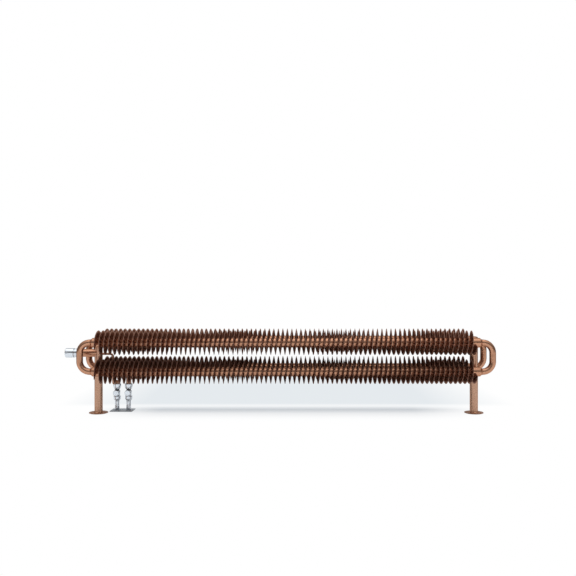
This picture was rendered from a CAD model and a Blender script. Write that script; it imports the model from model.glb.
"""Spiral-fin radiator: four finned tubes between two legs, a thermostatic head and two floor valves.

The tubes run along X and the legs stand on z = 0. The front is at -Y, and the head is at the
left (-X) end. Pieces are described in millimetres; materials and the stage are in metres.
"""
import random
from collections import namedtuple
from math import copysign, cos, pi, radians, sin, sqrt

import bmesh
import bpy
from mathutils import Matrix, Vector, noise


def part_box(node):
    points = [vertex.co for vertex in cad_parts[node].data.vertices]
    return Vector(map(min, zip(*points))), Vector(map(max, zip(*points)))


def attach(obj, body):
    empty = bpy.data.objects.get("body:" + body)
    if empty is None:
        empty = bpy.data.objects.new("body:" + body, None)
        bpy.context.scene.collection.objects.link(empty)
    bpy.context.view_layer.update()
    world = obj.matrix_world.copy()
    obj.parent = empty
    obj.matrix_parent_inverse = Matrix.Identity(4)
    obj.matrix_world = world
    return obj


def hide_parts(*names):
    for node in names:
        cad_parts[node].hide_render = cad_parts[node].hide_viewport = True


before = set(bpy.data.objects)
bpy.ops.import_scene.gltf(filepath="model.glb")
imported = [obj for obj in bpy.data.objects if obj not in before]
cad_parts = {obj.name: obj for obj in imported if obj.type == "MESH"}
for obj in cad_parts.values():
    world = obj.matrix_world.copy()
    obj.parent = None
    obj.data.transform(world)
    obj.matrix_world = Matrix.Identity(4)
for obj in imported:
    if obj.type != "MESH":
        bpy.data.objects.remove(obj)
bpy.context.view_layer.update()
MM = 0.001

# ---------------------------------------------------------------- measures, from the frame
Box = namedtuple("Box", "x0 y0 z0 x1 y1 z1")
Pipe = namedtuple("Pipe", "at axis radius")


def box_of(node):
    """Bounding box of a frame node, in millimetres."""
    low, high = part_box(node)
    return Box(*(value * 1000 for value in (*low, *high)))


def centre_of(node):
    low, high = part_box(node)
    return (low + high) / 2 * 1000


LEFT_LEG = box_of("leg_left")
RIGHT_LEG = box_of("leg_right")
LEG_X = {"left": (LEFT_LEG.x0 + LEFT_LEG.x1) / 2, "right": (RIGHT_LEG.x0 + RIGHT_LEG.x1) / 2}
MIDDLE_X = (LEG_X["left"] + LEG_X["right"]) / 2
LEG_R = (LEFT_LEG.x1 - LEFT_LEG.x0) / 2
LEG_TOP = LEFT_LEG.z1

TUBES = {}                                       # (row, level): (y, z) of the tube's axis
for row in ("front", "rear"):
    for level in ("upper", "lower"):
        tube_centre = centre_of(f"tube_{row}_{level}")
        TUBES[row, level] = (tube_centre.y, tube_centre.z)
HEAD_Z = centre_of("head_knob").z
VALVE_X = {valve: centre_of(f"{valve}_body").x for valve in ("supply", "return")}
VALVE_Y = centre_of("supply_sleeve").y
CAP_Z = centre_of("supply_cap").z

SIDES = {"left": -1, "right": 1}
TUBE_R = 20.0
BEND_PIPE_R = 13.45
STUB_R = 10.65                                   # cross pipes and the two tails at the valves
TAIL_BOTTOM = 94.0

# ---------------------------------------------------------------- shader nodes


class Tree:
    """Short ways to add and link the nodes of one node tree."""

    def __init__(self, node_tree):
        self.nodes = node_tree.nodes
        self.links = node_tree.links

    def fill(self, node, inputs):
        """Give each named or numbered input a link or a value; colours may leave out alpha."""
        for key, value in inputs.items():
            socket = node.inputs[key]
            if isinstance(value, bpy.types.NodeSocket):
                self.links.new(value, socket)
            elif socket.type == "RGBA":
                socket.default_value = (*value, 1.0)
            else:
                socket.default_value = value

    def node(self, kind, inputs=None, **settings):
        made = self.nodes.new("ShaderNode" + kind)
        for name, value in settings.items():
            setattr(made, name, value)
        self.fill(made, inputs or {})
        return made

    def noise(self, coords, scale, detail=3.0, stretch=None):
        if stretch:
            mapping = self.node("Mapping", {"Scale": stretch, "Vector": coords})
            coords = mapping.outputs["Vector"]
        return self.node("TexNoise", {"Scale": scale, "Detail": detail, "Roughness": 0.55,
                                      "Vector": coords}).outputs["Fac"]

    def ramp(self, value, span, to=(0.0, 1.0)):
        """Map the span of a value onto another span, held at both ends."""
        return self.node("MapRange", {
            "From Min": span[0], "From Max": span[1], "To Min": to[0], "To Max": to[1],
            "Value": value}).outputs["Result"]

    def colour_ramp(self, factor, stops):
        """Stops are (position, colour); the first lies at 0 and the last at 1."""
        made = self.node("ValToRGB", {"Fac": factor})
        elements = made.color_ramp.elements
        for position, colour in stops[1:-1]:
            elements.new(position).color = (*colour, 1)
        elements[0].color = (*stops[0][1], 1)
        elements[len(elements) - 1].color = (*stops[-1][1], 1)
        return made.outputs["Color"]

    def mix(self, factor, first, second):
        return self.node("Mix", {"Factor": factor, 6: first, 7: second},
                         data_type="RGBA").outputs[2]

    def mix_float(self, factor, first, second):
        return self.node("Mix", {0: factor, 2: first, 3: second}, data_type="FLOAT").outputs[0]

    def mix_shader(self, factor, first, second):
        return self.node("MixShader", {"Fac": factor, 1: first, 2: second}).outputs[0]

    def math(self, operation, first, second):
        return self.node("Math", {0: first, 1: second}, operation=operation).outputs[0]

    def product(self, first, *others):
        for other in others:
            first = self.math("MULTIPLY", first, other)
        return first

    def bump(self, height, strength, distance):
        return self.node("Bump", {"Strength": strength, "Distance": distance,
                                  "Height": height}).outputs["Normal"]


def new_material(name):
    material = bpy.data.materials.new(name)
    material.use_nodes = True
    tree = Tree(material.node_tree)
    return material, tree, tree.nodes["Principled BSDF"]


# ---------------------------------------------------------------- materials
NOISE_MIDDLE = (0.3, 0.7)                        # the part of a noise's range that is used


def metal(name, base, worn, metallic=1.0, roughness=(0.3, 0.4), grain=700.0, grain_depth=0.00002,
          stretch=None, patch=0.06, wear=(0.53, 0.62), tint=None, fleck=0.18, rim=None):
    """Metal with tonal patches, fine grain, uneven roughness and lighter worn edges.

    patch and fleck are the strengths of broad and fine tone changes, wear the pointiness over
    which edges turn to the worn colour, tint the specular tint, and rim the colour towards the
    free edge of a strip.
    """
    material, tree, bsdf = new_material(name)
    geometry = tree.node("NewGeometry")
    coords = tree.node("TexCoord").outputs["Object"]
    cloud = tree.noise(coords, scale=9.0, detail=4.0)
    fine = tree.noise(coords, scale=160.0, stretch=stretch)
    dark = tuple(c * (1 - 2 * patch) for c in base)
    light = tuple(min(1.0, c * (1 + 2 * patch)) for c in base)
    colour = tree.mix(tree.ramp(cloud, span=NOISE_MIDDLE), dark, light)
    colour = tree.mix(tree.ramp(fine, span=(0.35, 0.65), to=(0.0, fleck)), colour,
                      tuple(c * 0.82 for c in base))
    if rim:
        height = tree.node("Attribute", attribute_name="rim").outputs["Fac"]
        colour = tree.mix(tree.ramp(height, span=(0.62, 1.0), to=(0.0, 0.75)), colour, rim)
    edge = tree.ramp(geometry.outputs["Pointiness"], span=wear, to=(0.0, 0.75))
    scuff = tree.ramp(tree.noise(coords, scale=420.0, detail=2.0), span=(0.35, 0.6),
                      to=(0.25, 1.0))
    tree.fill(bsdf, {
        "Base Color": tree.mix(tree.product(edge, scuff), colour, worn),
        "Metallic": metallic,
        "Roughness": tree.math("ADD", tree.ramp(cloud, span=NOISE_MIDDLE, to=roughness),
                               tree.ramp(fine, span=NOISE_MIDDLE, to=(-0.02, 0.03))),
        "Normal": tree.bump(tree.noise(coords, scale=grain, detail=2.0, stretch=stretch),
                            strength=0.6, distance=grain_depth)})
    if tint:
        tree.fill(bsdf, {"Specular Tint": tint})
    return material


def rubber(name):
    """Matt black with fine lighter specks."""
    material, tree, bsdf = new_material(name)
    specks = tree.noise(tree.node("TexCoord").outputs["Object"], scale=1400.0)
    tree.fill(bsdf, {
        "Base Color": tree.mix(tree.ramp(specks, span=NOISE_MIDDLE, to=(0.0, 0.3)),
                               (0.018, 0.018, 0.018), (0.0424, 0.0424, 0.0424)),
        "Roughness": tree.ramp(specks, span=NOISE_MIDDLE, to=(0.77, 0.91)),
        "Normal": tree.bump(specks, strength=0.7, distance=0.00006)})
    return material


# finishes shared by several materials: smooth lacquer on pipes, and lacquer on the fins
SMOOTH = dict(roughness=(0.25, 0.31), grain=900.0, grain_depth=0.0000015, patch=0.02, fleck=0.05)
FINNED = dict(metallic=0.55, roughness=(0.36, 0.44), grain_depth=0.000004, patch=0.05,
              wear=(0.52, 0.60), fleck=0.10)

COPPER = metal("copper_lacquer", base=(0.505, 0.262, 0.161), worn=(0.60, 0.38, 0.27),
               tint=(0.70, 0.50, 0.40), **SMOOTH)
COPPER_PIPE = metal("copper_lacquer_pipe", base=(0.57, 0.295, 0.182), worn=(0.62, 0.40, 0.29),
                    tint=(0.75, 0.54, 0.43), **SMOOTH)
COPPER_FLAT = metal("copper_lacquer_flat", base=(0.44, 0.225, 0.137), worn=(0.60, 0.38, 0.27),
                    metallic=0.45, roughness=(0.36, 0.44), tint=(0.60, 0.42, 0.33), fleck=0.05)
FIN = metal("fin_lacquer", base=(0.26, 0.104, 0.058), worn=(0.68, 0.45, 0.36),
            tint=(0.50, 0.27, 0.18), rim=(0.58, 0.34, 0.25), **FINNED)
FIN_LOW = metal("fin_lacquer_low", base=(0.19, 0.075, 0.042), worn=(0.58, 0.37, 0.29),
                tint=(0.42, 0.22, 0.15), rim=(0.42, 0.235, 0.17), **FINNED)
CHROME = metal("chrome_plate", base=(0.76, 0.80, 0.84), worn=(0.84, 0.87, 0.90),
               roughness=(0.15, 0.20), grain=300.0, grain_depth=0.000001, patch=0.01,
               wear=(0.56, 0.66), fleck=0.03)
PLATE = metal("plate_metal", base=(0.50, 0.54, 0.58), worn=(0.62, 0.65, 0.68), metallic=0.25,
              roughness=(0.42, 0.50), grain=500.0, grain_depth=0.00001, stretch=(0.06, 1.0, 1.0))
BRASS = metal("machined_brass", base=(0.60, 0.44, 0.19), worn=(0.80, 0.66, 0.38),
              roughness=(0.22, 0.34), grain=800.0, stretch=(6.0, 1.0, 1.0))
STEEL = metal("plain_steel", base=(0.52, 0.53, 0.54), worn=(0.75, 0.76, 0.77),
              roughness=(0.22, 0.32), grain=900.0)
BARE_COPPER = metal("bare_copper", base=(0.62, 0.30, 0.19), worn=(0.80, 0.48, 0.34),
                    roughness=(0.25, 0.4), patch=0.12)
DULL_STEEL = metal("dull_steel", base=(0.10, 0.105, 0.11), worn=(0.30, 0.31, 0.32),
                   metallic=0.6, roughness=(0.42, 0.55), grain=900.0)
RUBBER = rubber("pad_rubber")

# ---------------------------------------------------------------- mesh helpers
# each axis with the two directions its circles are drawn in
AXES = {"X": (Vector((1, 0, 0)), Vector((0, 1, 0)), Vector((0, 0, 1))),
        "Y": (Vector((0, 1, 0)), Vector((0, 0, 1)), Vector((1, 0, 0))),
        "Z": (Vector((0, 0, 1)), Vector((1, 0, 0)), Vector((0, 1, 0)))}


def add_part(name, verts, faces, material, replaced=None, body="frame", sharp_angle=35.0):
    """Make a piece; edges over the sharp angle (degrees) stay sharp, and 0 smooths them all."""
    mesh = bpy.data.meshes.new(name)
    mesh.from_pydata([(x * MM, y * MM, z * MM) for x, y, z in verts], [], faces)
    mesh.update()
    part = bpy.data.objects.new(name, mesh)
    bpy.context.scene.collection.objects.link(part)
    shape = bmesh.new()
    shape.from_mesh(mesh)
    bmesh.ops.recalc_face_normals(shape, faces=shape.faces)
    shape.to_mesh(mesh)
    shape.free()
    mesh.materials.append(material)
    mesh.shade_smooth()
    if sharp_angle:
        mesh.set_sharp_from_angle(angle=radians(sharp_angle))
    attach(part, body)
    if replaced:
        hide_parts(replaced)
    return part


def drill_along_y(part, x, z, radius, y_from, y_to):
    """Cut a round hole in a finished piece and keep the result as its mesh."""
    shape = bmesh.new()
    place = Matrix.Translation((x * MM, (y_from + y_to) / 2 * MM, z * MM))
    bmesh.ops.create_cone(shape, cap_ends=True, cap_tris=False, segments=40,
                          radius1=radius * MM, radius2=radius * MM, depth=(y_to - y_from) * MM,
                          matrix=place @ Matrix.Rotation(pi / 2, 4, "X"))
    cutter = bpy.data.objects.new("drill", bpy.data.meshes.new("drill"))
    shape.to_mesh(cutter.data)
    shape.free()
    bpy.context.scene.collection.objects.link(cutter)
    hole = part.modifiers.new("hole", "BOOLEAN")
    hole.operation = "DIFFERENCE"
    hole.solver = "EXACT"
    hole.object = cutter
    bpy.context.view_layer.update()
    evaluated = part.evaluated_get(bpy.context.evaluated_depsgraph_get())
    cut = bpy.data.meshes.new_from_object(evaluated)
    part.modifiers.remove(hole)
    bpy.data.objects.remove(cutter, do_unlink=True)
    uncut = part.data
    name = uncut.name
    part.data = cut
    bpy.data.meshes.remove(uncut)
    cut.name = name


def fillet(points, radius, closed=False):
    """Round the corners of a profile of (radius, height) or (radius, height, own rounding)."""
    steps = 3
    count = len(points)
    rounded = []
    for i, point in enumerate(points):
        corner = Vector(point[:2])
        back = Vector(points[i - 1][:2]) - corner
        ahead = Vector(points[(i + 1) % count][:2]) - corner
        is_end = not closed and i in (0, count - 1)
        if is_end or min(back.length, ahead.length) < 1e-6:
            rounded.append(point[:2])
            continue
        wanted = point[2] if len(point) > 2 else radius
        reach = min(wanted, back.length * 0.45, ahead.length * 0.45)
        first = corner + back / back.length * reach
        last = corner + ahead / ahead.length * reach
        for k in range(steps + 1):
            t = k / steps
            spot = first * (1 - t) ** 2 + corner * 2 * t * (1 - t) + last * t ** 2
            rounded.append((spot.x, spot.y))
    return rounded


def quarter_round(radius, face, rounding, steps):
    """Profile points round the rim of a disc, from its side to its lower face."""
    angles = [radians(90 * k / steps) for k in range(1, steps + 1)]
    return [(radius - rounding * (1 - cos(angle)), face + rounding * (1 - sin(angle)))
            for angle in angles]


def lathe(name, profile, material, at, axis="Z", sides=64, closed=False, warp=None, **part):
    """Turned piece. The profile is (radius, height), and a radius of 0 closes on the axis.

    warp(radius, height, angle) may move each point.
    """
    along, across, up = AXES[axis]
    base = Vector(at)
    verts, faces, rings = [], [], []
    for radius, height in profile:
        if radius <= 1e-6:
            rings.append([len(verts)])
            verts.append(base + along * height)
            continue
        ring = []
        for k in range(sides):
            angle = 2 * pi * k / sides
            out, rise = warp(radius, height, angle) if warp else (radius, height)
            ring.append(len(verts))
            verts.append(base + along * rise + (across * cos(angle) + up * sin(angle)) * out)
        rings.append(ring)
    pairs = list(zip(rings, rings[1:]))
    if closed:
        pairs.append((rings[-1], rings[0]))
    for near, far in pairs:
        if len(near) == 1 and len(far) == 1:
            continue
        for k in range(sides):
            after = (k + 1) % sides
            if len(near) == 1:
                faces.append((near[0], far[k], far[after]))
            elif len(far) == 1:
                faces.append((near[k], far[0], near[after]))
            else:
                faces.append((near[k], far[k], far[after], near[after]))
    return add_part(name, verts, faces, material, **part)


def sweep(name, path, radii, material, sides, loop=False, **part):
    """Round section along a path; radii is one number or one for each point."""
    points = [Vector(point) for point in path]
    count = len(points)
    if isinstance(radii, (int, float)):
        radii = [radii] * count
    tangents = []
    for i in range(count):
        before = points[i - 1] if (i > 0 or loop) else points[i]
        after = points[(i + 1) % count] if (i < count - 1 or loop) else points[i]
        tangents.append((after - before).normalized())
    across = tangents[0].orthogonal().normalized()
    verts, faces = [], []
    for point, tangent, radius in zip(points, tangents, radii):
        across = (across - tangent * across.dot(tangent)).normalized()
        up = tangent.cross(across)
        for k in range(sides):
            angle = 2 * pi * k / sides
            verts.append(point + (across * cos(angle) + up * sin(angle)) * radius)
    shift = 0
    if loop:                                     # match the last ring to the start of the first
        start = verts[0] - points[0]
        shift = min(range(sides), key=lambda k: (
            verts[(count - 1) * sides + k] - points[-1] - start).length)
    for i in range(count if loop else count - 1):
        j = (i + 1) % count
        turn = shift if j == 0 else 0
        for k in range(sides):
            after = (k + 1) % sides
            faces.append((i * sides + (k + turn) % sides, i * sides + (after + turn) % sides,
                          j * sides + after, j * sides + k))
    if not loop:
        faces.append(tuple(range(sides)))
        faces.append(tuple((count - 1) * sides + k for k in reversed(range(sides))))
    return add_part(name, verts, faces, material, **part)


def arc(centre, across, up, radius, start, end, steps):
    """Points of an arc from a start to an end angle, in degrees from across towards up."""
    angles = [radians(start + (end - start) * i / steps) for i in range(steps + 1)]
    return [Vector(centre) + radius * (cos(angle) * Vector(across) + sin(angle) * Vector(up))
            for angle in angles]


# ---------------------------------------------------------------- weld beads
BEAD_RIPPLE = 0.16
BEAD_LIFT = 0.15                                 # how far a saddle bead lies off both pipes


def ripple(seed, amount, waves):
    """Repeatable weld ripple: a factor near 1 for each angle."""
    rng = random.Random(seed)
    phases = [rng.uniform(0, 2 * pi) for _ in range(3)]
    return lambda angle: 1 + amount * (sin(waves * angle + phases[0]) * 0.5
                                       + sin((waves * 2 + 1) * angle + phases[1]) * 0.3
                                       + sin(3 * angle + phases[2]) * 0.4)


def bead(name, path, radii):
    sweep(name, path, radii, COPPER, sides=10, loop=True, sharp_angle=0)


def ring_bead(name, at, axis, radius, thickness, seed):
    """Weld bead around a pipe."""
    along, across, up = AXES[axis]
    rippled = ripple(seed, BEAD_RIPPLE, waves=17)
    steps = 72
    path, radii = [], []
    for i in range(steps):
        angle = 2 * pi * i / steps
        path.append(Vector(at) + (across * cos(angle) + up * sin(angle)) * radius
                    + along * (0.25 * sin(5 * angle + seed)))
        radii.append(thickness * rippled(angle))
    bead(name, path, radii)


def saddle_bead(name, big, small, side, thickness, seed):
    """Weld bead where a small pipe meets a big one, on the side (1 or -1) along the small one."""
    along, across, up = AXES[small.axis]
    sideways = along.cross(AXES[big.axis][0]).normalized()
    between = Vector(big.at) - Vector(small.at)
    rippled = ripple(seed, BEAD_RIPPLE, waves=15)
    steps = 80
    path, radii = [], []
    for i in range(steps):
        angle = 2 * pi * i / steps
        offset = (across * cos(angle) + up * sin(angle)) * (small.radius + BEAD_LIFT)
        aside = offset.dot(sideways) - between.dot(sideways)
        depth = sqrt(max(0.0, (big.radius + BEAD_LIFT) ** 2 - aside ** 2))
        path.append(Vector(small.at) + offset + along * (between.dot(along) + side * depth))
        radii.append(thickness * rippled(angle))
    bead(name, path, radii)


# ---------------------------------------------------------------- core tubes and return bends
SWAGE_INNER, SWAGE_OUTER = 804.0, 811.2          # from the middle, along the tube
TUBE_END_GROWTH = 0.15                           # the tube end over the bend pipe
BEND_R = 42.5
BEND_LEAD = 3.0                                  # straight run before the bend


def swage(side):
    """Tube end outline, from the narrow end inwards to the full radius."""
    steps = 8
    narrow = BEND_PIPE_R + TUBE_END_GROWTH
    length = SWAGE_OUTER - SWAGE_INNER + 2
    return [(narrow + (TUBE_R - narrow) * (1 - cos(pi * k / steps)) / 2,
             side * (SWAGE_OUTER - length * k / steps)) for k in range(steps + 1)]


def build_core_tubes():
    end = SWAGE_OUTER + TUBE_END_GROWTH
    profile = [(0, -end), *swage(-1), *reversed(swage(1)), (0, end)]
    for (row, level), (y, z) in TUBES.items():
        lathe(f"core_{row}_{level}", profile, COPPER_PIPE, (MIDDLE_X, y, z), "X",
              replaced=f"tube_{row}_{level}", sharp_angle=50)
        for side, sign in SIDES.items():
            ring_bead(f"bend_weld_{row}_{level}_{side}",
                      (MIDDLE_X + sign * (SWAGE_OUTER + 0.2), y, z), "X", BEND_PIPE_R + 0.1,
                      thickness=0.85,
                      seed=(row == "front") * 4 + (level == "upper") * 2 + (sign > 0))


def build_return_bends():
    """U-shaped pipes joining the upper and lower tube of each row."""
    for side, sign in SIDES.items():
        for row in ("front", "rear"):
            y, z_top = TUBES[row, "upper"]
            z_low = TUBES[row, "lower"][1]
            start_x = MIDDLE_X + sign * (SWAGE_OUTER - 1.0)
            bend_x = MIDDLE_X + sign * (SWAGE_OUTER + 0.3 + BEND_LEAD)
            half_x = (start_x + bend_x) / 2
            out, up = (sign, 0, 0), (0, 0, 1)
            path = [(start_x, y, z_top), (half_x, y, z_top),
                    *arc((bend_x, y, z_top - BEND_R), out, up, BEND_R, 90, 0, steps=28),
                    (bend_x + sign * BEND_R, y, (z_top + z_low) / 2),
                    *arc((bend_x, y, z_low + BEND_R), out, up, BEND_R, 0, -90, steps=28),
                    (half_x, y, z_low), (start_x, y, z_low)]
            sweep(f"return_bend_{row}_{side}", path, BEND_PIPE_R, COPPER_PIPE, sides=48,
                  replaced=f"bend_{row}_{side}")


# ---------------------------------------------------------------- fin ribbons
PITCH = 19.6
FIRST_TOP_X = MIDDLE_X - 779.3                   # where the first turn passes the top
FIN_R = 51.0
CRIMPS = 14                                      # waves in the foot of the strip, each turn
STEPS_PER_TURN = 7 * CRIMPS
CRIMP_SIZE = 4.8
CRIMP_TOP = 49.5                                 # radius where the waves have died out
CRIMP_DEPTH = 29.5                               # radial distance over which they do
FADE = 220.0                                     # degrees over which they fade at strip ends

# section of the strip: (x, radius)
FIN_SECTION = [(-1.10, 19.8), (-1.08, 25.0), (-1.02, 32.0), (-0.92, 41.0), (-0.70, 50.2),
               (0.0, FIN_R),
               (0.70, 50.2), (0.92, 41.0), (1.02, 32.0), (1.08, 25.0), (1.10, 19.8)]

# angles in degrees, 90 being the first top; the rear lower fin leaves a gap for the return riser
FIN_START = -35.0
FIN_END = 90.0 + 79 * 360.0 + 253.0
RISER_TURN = 270.0 + 4 * 360.0
RISER_GAP = 36.0
RIBBONS = [("front_upper", FIN_START, FIN_END),
           ("front_lower", FIN_START, FIN_END),
           ("rear_upper", FIN_START, FIN_END),
           ("rear_lower_left", FIN_START, RISER_TURN - RISER_GAP),
           ("rear_lower_right", RISER_TURN + RISER_GAP, FIN_END)]


def fin_height(radius):
    """0 at the tube and 1 at the rim."""
    return (radius - TUBE_R) / (FIN_R - TUBE_R)


def build_ribbon(place, start, end, seed):
    """Strip wound on edge: smooth at the rim, gathered into waves at its foot."""
    row, level = place.split("_")[:2]
    tube_y, tube_z = TUBES[row, level]
    count = round((end - start) / 360.0 * STEPS_PER_TURN)
    rng = random.Random(seed)
    offset = Vector((rng.uniform(0, 50), rng.uniform(0, 50), rng.uniform(0, 50)))
    phase = rng.uniform(0, 2 * pi)
    verts, faces = [], []
    for i in range(count + 1):
        degrees = start + (end - start) * i / count
        angle = radians(degrees)
        turn = degrees / 360.0
        x = FIRST_TOP_X + PITCH * (degrees - 90.0) / 360.0
        # the strip leans and ripples very slightly from turn to turn
        lean = 0.25 * noise.noise(offset + Vector((turn * 1.8, 0, 0)))
        flutter = 0.08 * noise.noise(offset + Vector((0, turn * 18.0, 0)))
        fade = (max(0.0, min(1.0, (degrees - start) / FADE))
                * max(0.0, min(1.0, (end - degrees) / FADE)))
        uneven = 1.0 + 0.22 * noise.noise(offset + Vector((0, 0, turn * 9.0)))
        drift = 0.7 * noise.noise(offset + Vector((turn * 5.0, 7.0, 0)))
        wave = sin(CRIMPS * angle + phase + drift)
        wave = copysign(abs(wave) ** 0.7, wave)
        crimp = CRIMP_SIZE * fade * uneven * wave
        for section_x, radius in FIN_SECTION:
            height = fin_height(radius)
            depth = max(0.0, min(1.0, (CRIMP_TOP - radius) / CRIMP_DEPTH)) ** 0.8
            verts.append((x + section_x + (lean + flutter) * height * height + crimp * depth,
                          tube_y - radius * cos(angle), tube_z + radius * sin(angle)))
    size = len(FIN_SECTION)
    for i in range(count):
        for k in range(size):
            after = (k + 1) % size
            near, far = i * size, (i + 1) * size
            if after:
                faces.append((near + k, near + after, far + after, far + k))
            else:
                faces.append((near + k, near, far, far + k))
    faces.append(tuple(range(size)))
    faces.append(tuple(count * size + k for k in reversed(range(size))))
    strip = add_part(f"ribbon_{place}", verts, faces, FIN if level == "upper" else FIN_LOW,
                     replaced=f"fin_{place}", sharp_angle=60)
    rim = strip.data.attributes.new("rim", "FLOAT", "POINT")
    rim.data.foreach_set("value", [fin_height(radius) for _, radius in FIN_SECTION] * (count + 1))


# ---------------------------------------------------------------- legs, feet, cross pipes
FOOT = box_of("foot_left")
LEG_CAP_TOP = box_of("leg_cap_left").z1
LEG_WALL = 2.6
DOME_R = LEG_R - 0.05
FOOT_R = 40.0
PAD_R, PAD_TOP = 36.0, 1.1


def build_leg(side, leg_x):
    """Pipe with a domed top, on a round foot welded to it."""
    at = (leg_x, 0, 0)
    seed = int(leg_x > 0)
    bore, bottom = LEG_R - LEG_WALL, FOOT.z1 - 0.2
    lathe(f"leg_pipe_{side}",
          [(LEG_R, LEG_TOP), (LEG_R, bottom), (bore, bottom), (bore, LEG_TOP)],
          COPPER, at, sides=72, closed=True, replaced=f"leg_{side}")

    dome_base = LEG_TOP + 1.2
    dome = [(0, LEG_CAP_TOP)]
    for k in range(1, 13):
        angle = radians(90 * k / 12)
        dome.append((DOME_R * sin(angle) ** 0.85,
                     dome_base + (LEG_CAP_TOP - LEG_TOP - 1.2) * cos(angle) ** 0.8))
    dome += [(DOME_R, LEG_TOP + 0.1), (0, LEG_TOP + 0.1)]
    lathe(f"leg_dome_{side}", dome, COPPER, at, sides=72, replaced=f"leg_cap_{side}")
    ring_bead(f"cap_weld_{side}", (leg_x, 0, LEG_TOP), "Z", LEG_R - 0.35, thickness=0.6,
              seed=11 + seed)

    foot = [(0, FOOT.z1), (LEG_R + 3.2, FOOT.z1), (FOOT_R - 1.0, FOOT.z1 - 0.15),
            (FOOT_R, FOOT.z1 - 1.3), (FOOT_R, FOOT.z0 + 0.5), (FOOT_R - 0.5, FOOT.z0),
            (0, FOOT.z0)]
    lathe(f"foot_disc_{side}", fillet(foot, 0.5), COPPER_FLAT, at, sides=96,
          replaced=f"foot_{side}")
    # section of the weld, out from the leg and up from the foot
    weld = [(-0.4, 3.4), (0.5, 2.6), (1.3, 1.3), (3.0, 0.3), (3.4, -0.3), (-0.4, -0.3)]
    rippled = ripple(31 + seed, amount=0.08, waves=21)
    lathe(f"foot_weld_{side}", [(LEG_R + out, FOOT.z1 + up) for out, up in weld], COPPER, at,
          sides=96, closed=True, sharp_angle=0,
          warp=lambda radius, height, angle: (LEG_R + (radius - LEG_R) * rippled(angle),
                                              FOOT.z1 + (height - FOOT.z1) * rippled(angle)))
    lathe(f"pad_{side}", fillet([(0, PAD_TOP), (PAD_R, PAD_TOP), (PAD_R, 0.0), (0, 0.0)], 0.3),
          RUBBER, at, sides=72, replaced=f"foot_pad_{side}")


def build_cross_pipes(side, leg_x):
    """Short pipes from a leg to each tube, with a weld at both ends."""
    leg = Pipe((leg_x, 0, 0), "Z", LEG_R)
    for (row, level), (y, z) in TUBES.items():
        sign = -1 if y < 0 else 1
        sweep(f"cross_pipe_{row}_{level}_{side}",
              [(leg_x, sign * 10.0, z), (leg_x, sign * 35.0, z), (leg_x, y - sign * 10.0, z)],
              STUB_R, COPPER, sides=40, replaced=f"stub_{row}_{level}_{side}")
        seed = int(leg_x > 0) * 4 + (row == "front") * 2 + (level == "upper")
        cross_pipe = Pipe((leg_x, 0, z), "Y", STUB_R)
        saddle_bead(f"leg_weld_{row}_{level}_{side}", leg, cross_pipe, side=sign,
                    thickness=1.1, seed=50 + seed)
        saddle_bead(f"tube_weld_{row}_{level}_{side}", Pipe((leg_x, y, z), "X", TUBE_R),
                    cross_pipe, side=-sign, thickness=1.1, seed=70 + seed)


# ---------------------------------------------------------------- head and its housing
COLLAR = box_of("union_collar")
RING = box_of("head_ring")
KNOB = box_of("head_knob")
KNOB_R = (KNOB.z1 - KNOB.z0) / 2
HEAD_BORE = 12.5
FLUTES = 24


def turn_on_head_axis(name, profile, material, **part):
    """Closed profile of (radius, x) turned about the head's axis."""
    lathe(name, profile, material, (0, 0, HEAD_Z), "X", closed=True, **part)


def knob_grip(radius, height, angle):
    """Shallow finger flutes around the outer end of the knob."""
    strength = (max(0.0, min(1.0, (height - KNOB.x0 - 1.5) / 3.0))
                * max(0.0, min(1.0, (KNOB.x0 + 15.0 - height) / 3.0)))
    if radius > KNOB_R - 0.6 and strength > 0:
        radius -= 0.35 * strength * (0.5 + 0.5 * cos(FLUTES * angle)) ** 3
    return radius, height


def build_head():
    leg_x = LEG_X["left"]
    outer_x, inner_x = box_of("valve_housing").x0, leg_x - 5.0
    housing = [(LEG_R, inner_x), (LEG_R, outer_x), (14.0, outer_x), (14.0, inner_x)]
    turn_on_head_axis("housing_pipe", fillet(housing, 0.6, closed=True), COPPER, sides=72,
                      replaced="valve_housing")
    saddle_bead("housing_weld", Pipe((leg_x, 0, 0), "Z", LEG_R),
                Pipe((leg_x, 0, HEAD_Z), "X", LEG_R - 0.6), side=-1, thickness=1.2, seed=91)

    radius = (COLLAR.z1 - COLLAR.z0) / 2
    start, end = COLLAR.x0, COLLAR.x1
    collar = [(HEAD_BORE, end), (radius - 1.5, end), (radius, end - 1.5), (radius, start + 7.5),
              (radius - 0.9, start + 6.9), (radius - 0.9, start + 6.1), (radius, start + 5.5),
              (radius, start + 0.4), (radius - 0.4, start), (HEAD_BORE, start)]
    turn_on_head_axis("collar_nut", fillet(collar, 0.35, closed=True), CHROME, sides=96,
                      replaced="union_collar")

    radius = (RING.z1 - RING.z0) / 2
    start, end = RING.x0, RING.x1
    ring = [(HEAD_BORE, end + 0.2), (radius, end + 0.2), (radius, end - 1.2),
            (radius - 0.8, end - 1.8), (radius - 0.8, start + 1.8), (radius, start + 1.2),
            (radius, start), (HEAD_BORE, start)]
    turn_on_head_axis("scale_ring", fillet(ring, 0.25, closed=True), CHROME, sides=96,
                      replaced="head_ring")

    start, end = KNOB.x0, KNOB.x1
    knob = [(16.0, end), (KNOB_R - 0.9, end), (KNOB_R, end - 0.9), (KNOB_R, end - 5.0),
            *((KNOB_R, start + station) for station in (15.5, 12.0, 9.0, 6.0, 3.6)),
            *quarter_round(KNOB_R, start, rounding=3.2, steps=8),
            (12.0, start), (11.2, start + 0.45), (0.0, start + 0.45), (0.0, start + 4.0),
            (16.0, start + 4.0)]
    turn_on_head_axis("knob_shell", knob, CHROME, sides=192, body="head",
                      replaced="head_knob", warp=knob_grip)


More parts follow.
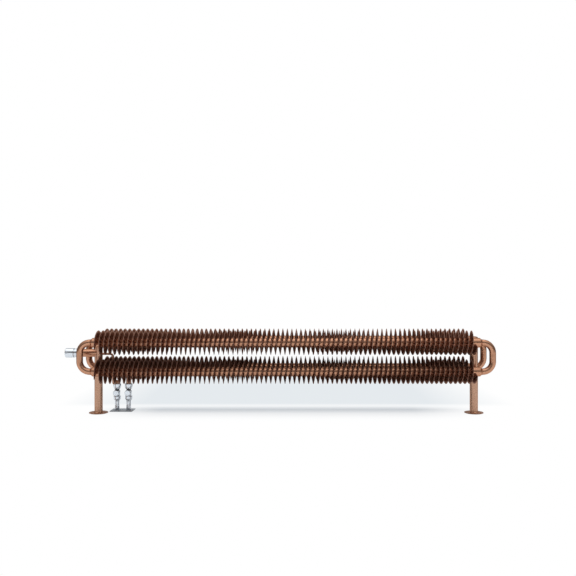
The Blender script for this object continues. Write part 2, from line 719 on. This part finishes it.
# ---------------------------------------------------------------- link pipe, tails, vent
LINK_R = 4.5
LINK_BEND_R = 14.0
LINK_TOP_Z = box_of("link_pipe").z1 - LINK_R
LINK_LOW_Z = box_of("link_pipe").z0 + LINK_R
VENT_BOSS = box_of("vent_boss")
VENT_R = 7.0
VENT_BORE = 3.4
VENT_END = box_of("vent_screw").y1


def build_link_pipe():
    """Thin pipe from the left leg, down and back to the supply tail."""
    leg_x, x = LEG_X["left"], VALVE_X["supply"]
    bend = LINK_BEND_R
    path = [(leg_x + LEG_R - 2.5, 0, LINK_TOP_Z), (leg_x + LEG_R + 12, 0, LINK_TOP_Z),
            *arc((x - bend, 0, LINK_TOP_Z - bend), (1, 0, 0), (0, 0, 1), bend, 90, 0, steps=14),
            *arc((x, bend, LINK_LOW_Z + bend), (0, -1, 0), (0, 0, -1), bend, 0, 90, steps=14),
            (x, VALVE_Y - STUB_R + 2.0, LINK_LOW_Z)]
    sweep("link_line", path, LINK_R, COPPER, sides=28, replaced="link_pipe")
    saddle_bead("link_weld_leg", Pipe((leg_x, 0, 0), "Z", LEG_R),
                Pipe((leg_x, 0, LINK_TOP_Z), "X", LINK_R), side=1, thickness=0.8, seed=93)
    saddle_bead("link_weld_stub", Pipe((x, VALVE_Y, 0), "Z", STUB_R),
                Pipe((x, VALVE_Y, LINK_LOW_Z), "Y", LINK_R), side=-1, thickness=0.8, seed=94)


def build_tails():
    """Pipes above the valves: the supply's ends in a dome, the return's meets its tube."""
    top = box_of("supply_stub").z1
    bore = 8.35
    tail = [(0, top)]
    for degrees in (20, 40, 60, 75, 90):
        angle = radians(degrees)
        tail.append((STUB_R * sin(angle) ** 0.6, top - 3.5 * (1 - cos(angle) ** 0.6)))
    tail += [(STUB_R, TAIL_BOTTOM), (bore, TAIL_BOTTOM), (bore, top - 5.5), (0, top - 5.5)]
    lathe("supply_tail", tail, COPPER, (VALVE_X["supply"], VALVE_Y, 0), sides=48,
          replaced="supply_stub")

    x = VALVE_X["return"]
    tube_y, tube_z = TUBES["rear", "lower"]
    sweep("return_tail", [(x, VALVE_Y, z) for z in (TAIL_BOTTOM, 120.0, tube_z - 12.0)],
          STUB_R, COPPER, sides=48, replaced="return_riser")
    saddle_bead("riser_weld", Pipe((x, tube_y, tube_z), "X", TUBE_R),
                Pipe((x, VALVE_Y, tube_z), "Z", STUB_R), side=-1, thickness=1.0, seed=95)


def square_key(radius, height, angle):
    """The outer head of the vent is a square for a key."""
    if height > VENT_END - 3.7 and radius > 3.2:
        radius = min(radius, 3.35 / max(abs(cos(angle)), abs(sin(angle))))
    return radius, height


def build_vent():
    x = (VENT_BOSS.x0 + VENT_BOSS.x1) / 2
    z = (VENT_BOSS.z0 + VENT_BOSS.z1) / 2
    end = VENT_BOSS.y1
    socket = [(VENT_R, end), (VENT_R, end - 14), (VENT_BORE, end - 14), (VENT_BORE, end)]
    lathe("vent_socket", fillet(socket, 0.5, closed=True), COPPER, (x, 0, z), "Y", sides=48,
          closed=True, replaced="vent_boss")
    tube_y, tube_z = TUBES["rear", "upper"]
    saddle_bead("vent_weld", Pipe((x, tube_y, tube_z), "X", TUBE_R),
                Pipe((x, tube_y, z), "Y", VENT_R), side=1, thickness=0.8, seed=96)
    # (radius, distance in from the outer end)
    key = [(0, 0.1), (4.2, 0.1), (4.5, 0.5), (4.5, 3.5), (3.0, 3.6), (3.0, 11), (0, 11)]
    lathe("vent_key", [(radius, VENT_END - inset) for radius, inset in key], BRASS, (x, 0, z),
          "Y", body="vent", replaced="vent_screw", warp=square_key, sharp_angle=30)


# ---------------------------------------------------------------- valves and floor plate
UPPER_NUT = box_of("supply_upper_nut")
LOWER_NUT = box_of("supply_lower_nut")
CAP = box_of("supply_cap")
NUT_R = (UPPER_NUT.x1 - UPPER_NUT.x0) / 2
CAP_R = (CAP.z1 - CAP.z0) / 2
CAP_BORE = 3.3
NECK_BORE = 3.4
VALVE_BORE = 8.0


def build_valve(valve, x):
    """Upright stack from the tail to the floor pipe, with a cap facing the front."""
    at = (x, VALVE_Y, 0)
    low, top = UPPER_NUT.z0, UPPER_NUT.z1
    profile = [(11.0, top), (NUT_R - 1.6, top, 0.8), (NUT_R, top - 1.6, 0.8),
               (NUT_R, low + 9.0, 3.0), (13.6, low + 0.6, 1.0), (13.0, low, 0.4), (11.0, low)]
    lathe(f"{valve}_top_nut", fillet(profile, 0.3, closed=True), CHROME, at, sides=96,
          closed=True, replaced=f"{valve}_upper_nut")

    profile = [(VALVE_BORE, low - 0.2), (9.4, low - 0.2), (9.4, low - 5.7),
               (VALVE_BORE, low - 5.7)]
    lathe(f"{valve}_valve_throat", fillet(profile, 0.15, closed=True), DULL_STEEL, at,
          sides=72, closed=True)

    base = LOWER_NUT.z1
    profile = [(VALVE_BORE, low - 5.8), (11.0, low - 5.8, 0.3), (12.6, low - 6.6, 0.6),
               (12.8, CAP_Z, 4.0), (12.6, base + 3.4, 1.0), (11.8, base + 2.2, 0.6),
               (11.8, base + 0.2, 0.3), (VALVE_BORE, base + 0.2)]
    shell = lathe(f"{valve}_valve_body", fillet(profile, 0.3, closed=True), CHROME, at,
                  sides=96, closed=True, replaced=f"{valve}_body")
    drill_along_y(shell, x, CAP_Z, NECK_BORE, y_from=VALVE_Y - 16.0, y_to=VALVE_Y)
    profile = [(9.0, -9.0), (9.0, -17.0), (NECK_BORE, -17.0), (NECK_BORE, -9.0)]
    lathe(f"{valve}_valve_neck", fillet(profile, 0.5, closed=True), CHROME,
          (x, VALVE_Y, CAP_Z), "Y", closed=True)

    low, top = LOWER_NUT.z0, LOWER_NUT.z1
    profile = [(10.4, top), (NUT_R - 1.4, top, 0.8), (NUT_R - 0.6, top - 1.6, 0.8),
               (NUT_R - 0.6, low + 4.2, 1.5), (12.4, low + 0.5, 1.0), (10.3, low, 0.2),
               (VALVE_BORE, low), (VALVE_BORE, top - 11), (10.4, top - 11)]
    lathe(f"{valve}_base_nut", fillet(profile, 0.3, closed=True), CHROME, at, sides=96,
          closed=True, replaced=f"{valve}_lower_nut")

    sleeve = box_of(f"{valve}_sleeve")
    profile = [(10.0, sleeve.z1), (10.0, sleeve.z0), (7.8, sleeve.z0), (7.8, sleeve.z1)]
    lathe(f"{valve}_pipe_sleeve", fillet(profile, 0.4, closed=True), CHROME, at, sides=72,
          closed=True, replaced=f"{valve}_sleeve")

    face, back = CAP.y0, CAP.y1
    profile = [(CAP_BORE, back), (CAP_R - 0.5, back), (CAP_R, back - 0.5), (CAP_R, face + 1.6),
               *quarter_round(CAP_R, face, rounding=1.4, steps=6),
               (6.5, face + 0.12), (0.0, face + 0.3), (0.0, face + 4.5), (CAP_BORE, face + 4.5)]
    lathe(f"{valve}_valve_cap", profile, CHROME, (x, 0, CAP_Z), "Y", sides=96, closed=True,
          body=f"{valve}_turner", replaced=f"{valve}_cap")


def add_outline(curve, points):
    spline = curve.splines.new("POLY")
    spline.points.add(len(points) - 1)
    for spot, (x, y) in zip(spline.points, points):
        spot.co = (x * MM, y * MM, 0, 1)
    spline.use_cyclic_u = True


def build_floor_plate():
    """Flat plate with rounded corners and a hole under each valve."""
    box = box_of("floor_plate")
    corner_r, hole_r = 3, 10.5
    curve = bpy.data.curves.new("plate_outline", "CURVE")
    curve.dimensions = "2D"
    curve.fill_mode = "BOTH"
    curve.extrude = box.z1 / 2 * MM
    right, left = box.x1 - corner_r, box.x0 + corner_r
    rear, front = box.y1 - corner_r, box.y0 + corner_r
    outline = []
    for x, y, start in ((right, rear, 0), (left, rear, 90), (left, front, 180),
                        (right, front, 270)):
        for k in range(7):
            angle = radians(start + 90 * k / 6)
            outline.append((x + corner_r * cos(angle), y + corner_r * sin(angle)))
    add_outline(curve, outline)
    for x in VALVE_X.values():
        angles = [2 * pi * k / 64 for k in range(64)]
        add_outline(curve, [(x + hole_r * cos(angle), VALVE_Y + hole_r * sin(angle))
                            for angle in angles])
    flat = bpy.data.objects.new("plate_tmp", curve)
    bpy.context.scene.collection.objects.link(flat)
    bpy.context.view_layer.update()
    evaluated = flat.evaluated_get(bpy.context.evaluated_depsgraph_get())
    mesh = bpy.data.meshes.new_from_object(evaluated)
    bpy.data.objects.remove(flat, do_unlink=True)
    mesh.name = "cover_plate"
    mesh.transform(Matrix.Translation((0, 0, box.z1 / 2 * MM)))
    shape = bmesh.new()
    shape.from_mesh(mesh)
    bmesh.ops.remove_doubles(shape, verts=shape.verts, dist=1e-6)
    bmesh.ops.dissolve_limit(shape, angle_limit=0.01, verts=shape.verts, edges=shape.edges)
    bmesh.ops.recalc_face_normals(shape, faces=shape.faces)
    shape.to_mesh(mesh)
    shape.free()
    mesh.materials.clear()
    mesh.materials.append(PLATE)
    plate = bpy.data.objects.new("cover_plate", mesh)
    bpy.context.scene.collection.objects.link(plate)
    edge = plate.modifiers.new("edge", "BEVEL")
    edge.width = 0.0004
    edge.segments = 2
    edge.limit_method = "ANGLE"
    edge.angle_limit = radians(50)
    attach(plate, "plate")
    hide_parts("floor_plate")


# frame nodes shown as they are, inside the valves and head
SHOWN_NODES = {
    "valve_insert": BRASS, "sensor_element": BRASS, "valve_pin": STEEL, "pin_spring": STEEL,
    "supply_ball": STEEL, "return_ball": STEEL, "supply_olive": BRASS, "return_olive": BRASS,
    "supply_pipe": BARE_COPPER, "return_pipe": BARE_COPPER}


def colour_shown_nodes():
    for node, material in SHOWN_NODES.items():
        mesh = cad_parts[node].data
        mesh.materials.clear()
        mesh.materials.append(material)


# ---------------------------------------------------------------- floor (metres)
STAGE_X = MIDDLE_X * MM
FLOOR_HALF = 14.0
WHITE, BLACK = (1.0, 1.0, 1.0), (0.0, 0.0, 0.0)
FALLING = (1.0, 0.0)

# how much of the camera's floor takes real shading: (place from front to back, share)
SHADING_SHARE = [(0.0, 0.0), (0.15, 0.03), (0.282, 0.12), (0.376, 0.20), (0.47, 0.38),
                 (0.57, 0.53), (0.67, 0.36), (0.776, 0.06), (0.84, 0.0), (1.0, 0.0)]


def distance_from_middle(tree, position, axis_scale):
    """Distance from the radiator's middle, with each axis scaled."""
    offset = tree.node("VectorMath", {0: position, 1: (STAGE_X, 0.0, 0.0)},
                       operation="SUBTRACT")
    scaled = tree.node("VectorMath", {0: offset.outputs["Vector"], 1: axis_scale},
                       operation="MULTIPLY")
    length = tree.node("VectorMath", {0: scaled.outputs["Vector"]}, operation="LENGTH")
    return length.outputs["Value"]


def floor_seen(tree, y, aside, incoming_y):
    """What the camera sees: pale floor, cooler behind the radiator, shaded near it."""
    cool = tree.product(
        tree.ramp(y, span=(0.16, 0.25)),
        tree.ramp(y, span=(0.8, 2.8), to=FALLING),
        tree.ramp(aside, span=(0.66, 1.05), to=FALLING),
        # the tint belongs to the view from the front; other views get an even floor
        tree.ramp(incoming_y, span=(-0.88, -0.60), to=FALLING))
    tint = tree.mix(cool, WHITE, (0.785, 0.825, 0.855))
    glow = tree.node("Emission", {"Color": tint, "Strength": 1.0})
    shaded = tree.node("BsdfDiffuse", {"Color": (0.66, 0.84, 1.0)})
    share = tree.colour_ramp(tree.ramp(y, span=(-0.2, 0.3)),
                             [(place, (value,) * 3) for place, value in SHADING_SHARE])
    near = tree.product(share, tree.ramp(aside, span=(0.55, 0.86), to=FALLING))
    return tree.mix_shader(near, glow.outputs[0], shaded.outputs[0])


def floor_lit(tree, bsdf, y, aside, wide, rays):
    """What other rays meet: white close by, darker under the tubes, fading to a dark room."""
    glossy = rays.outputs["Is Glossy Ray"]
    fall = tree.mix_float(glossy, tree.ramp(wide, span=(2.2, 4.0)),
                          tree.ramp(wide, span=(4.0, 8.0)))
    far = tree.math("MAXIMUM", fall, tree.ramp(y, span=(0.25, 0.9)))
    # reflections of the floor right under a surface stay light; longer ones see the shade
    close = tree.product(
        tree.ramp(rays.outputs["Ray Length"], span=(0.30, 0.60), to=(0.75, 0.0)), glossy)
    front_edge = tree.mix_float(glossy, tree.ramp(y, span=(-0.32, -0.22)),
                                tree.ramp(y, span=(-0.20, -0.12)))
    under = tree.product(front_edge,
                         tree.ramp(y, span=(0.16, 0.24), to=FALLING),
                         tree.ramp(aside, span=(0.52, 0.62), to=FALLING),
                         tree.math("SUBTRACT", 1.0, close))
    bounce = tree.mix(far, (0.88, 0.90, 0.92), (0.12, 0.12, 0.13))
    shade = tree.mix(glossy, (0.12, 0.12, 0.125), (0.25, 0.25, 0.26))
    far_glow = tree.product(tree.ramp(wide, span=(1.0, 2.5), to=(0.0, 0.42)), glossy)
    tree.fill(bsdf, {
        "Base Color": tree.mix(under, bounce, shade),
        "Roughness": 0.9,
        "Specular IOR Level": 0.05,
        "Emission Color": tree.mix(under, tree.mix(far, WHITE, BLACK), BLACK),
        "Emission Strength": tree.math("ADD", far_glow, 0.20)})
    return bsdf.outputs["BSDF"]


def floor_material():
    material, tree, bsdf = new_material("studio_floor")
    geometry = tree.node("NewGeometry")
    rays = tree.node("LightPath")
    position = geometry.outputs["Position"]
    wide = distance_from_middle(tree, position, axis_scale=(0.5, 1.0, 0.0))
    aside = distance_from_middle(tree, position, axis_scale=(1.0, 0.0, 0.0))
    y = tree.node("SeparateXYZ", {0: position}).outputs["Y"]
    incoming_y = tree.node("SeparateXYZ", {0: geometry.outputs["Incoming"]}).outputs["Y"]
    seen = floor_seen(tree, y, aside, incoming_y)
    lit = floor_lit(tree, bsdf, y, aside, wide, rays)
    surface = tree.mix_shader(rays.outputs["Is Camera Ray"], lit, seen)
    tree.fill(tree.nodes["Material Output"], {"Surface": surface})
    return material


def build_floor():
    mesh = bpy.data.meshes.new("floor")
    left, right = STAGE_X - FLOOR_HALF, STAGE_X + FLOOR_HALF
    mesh.from_pydata([(left, -FLOOR_HALF, 0), (right, -FLOOR_HALF, 0),
                      (right, FLOOR_HALF, 0), (left, FLOOR_HALF, 0)], [], [(0, 1, 2, 3)])
    mesh.materials.append(floor_material())
    floor = bpy.data.objects.new("floor", mesh)
    bpy.context.scene.collection.objects.link(floor)
    floor.location.z = -0.0002


# ---------------------------------------------------------------- world, lights, camera
# brightness of the room between straight down (0) and straight up (1): (height, brightness)
SKY = [(0.49, 0.30), (0.51, 0.12), (0.60, 0.13), (0.66, 0.22), (0.735, 0.40), (0.82, 0.60),
       (0.905, 0.82), (0.96, 0.95), (1.0, 1.0)]


def build_world():
    """White for the camera; for other rays a room that brightens overhead."""
    world = bpy.data.worlds.new("studio")
    bpy.context.scene.world = world
    world.use_nodes = True
    tree = Tree(world.node_tree)
    tree.nodes.clear()
    generated = tree.node("TexCoord").outputs["Generated"]
    direction = tree.node("SeparateXYZ", {0: generated})
    height = tree.ramp(direction.outputs["Z"], span=(-1.0, 1.0))
    sky = tree.colour_ramp(height, [
        (0.0, (0.12, 0.12, 0.125)),
        *((place, (value, value * 1.01, value * 1.03)) for place, value in SKY)])
    rays = tree.node("LightPath")
    # the backdrop behind the radiator is light, which shows only in glossy reflections
    behind = tree.product(rays.outputs["Is Glossy Ray"],
                          tree.ramp(direction.outputs["Y"], span=(0.45, 0.80)))
    room = tree.node("Background", {"Color": tree.mix(behind, sky, (0.62, 0.63, 0.64)),
                                    "Strength": 1.0})
    backdrop = tree.node("Background", {"Color": WHITE, "Strength": 1.0})
    surface = tree.mix_shader(rays.outputs["Is Camera Ray"], room.outputs[0],
                              backdrop.outputs[0])
    tree.node("OutputWorld", {"Surface": surface})


def add_overhead(name, height, power):
    """Wide area light above and in front, aimed at the floor under the radiator's middle."""
    data = bpy.data.lights.new(name, "AREA")
    data.shape = "RECTANGLE"
    data.size = 4.0
    data.size_y = 1.6
    data.energy = power
    light = bpy.data.objects.new(name, data)
    light.location = (STAGE_X, -0.5, height)
    aim = Vector((STAGE_X, 0.0, 0.0)) - Vector((STAGE_X, -0.5, height))
    light.rotation_euler = aim.to_track_quat("-Z", "Y").to_euler()
    bpy.context.scene.collection.objects.link(light)
    light.visible_camera = False
    return light


def add_camera():
    data = bpy.data.cameras.new("camera")
    data.sensor_width = 36.0
    data.lens = 43.44
    camera = bpy.data.objects.new("camera", data)
    camera.location = (STAGE_X + 0.0076, -2.953, 0.531)
    camera.rotation_euler = (radians(90), 0, 0)
    bpy.context.scene.collection.objects.link(camera)
    bpy.context.scene.camera = camera
    bpy.context.scene.view_settings.view_transform = "Standard"


# ---------------------------------------------------------------- build
build_core_tubes()
build_return_bends()
for ribbon_seed, (place, start, end) in enumerate(RIBBONS, 1):
    build_ribbon(place, start, end, ribbon_seed)
for side, leg_x in LEG_X.items():
    build_leg(side, leg_x)
    build_cross_pipes(side, leg_x)
build_head()
build_link_pipe()
build_tails()
build_vent()
for valve, valve_x in VALVE_X.items():
    build_valve(valve, valve_x)
build_floor_plate()
colour_shown_nodes()
build_floor()
build_world()
add_overhead("overhead", height=2.6, power=7.0).visible_glossy = False
add_overhead("overhead_seen", height=2.65, power=15.0)
add_camera()
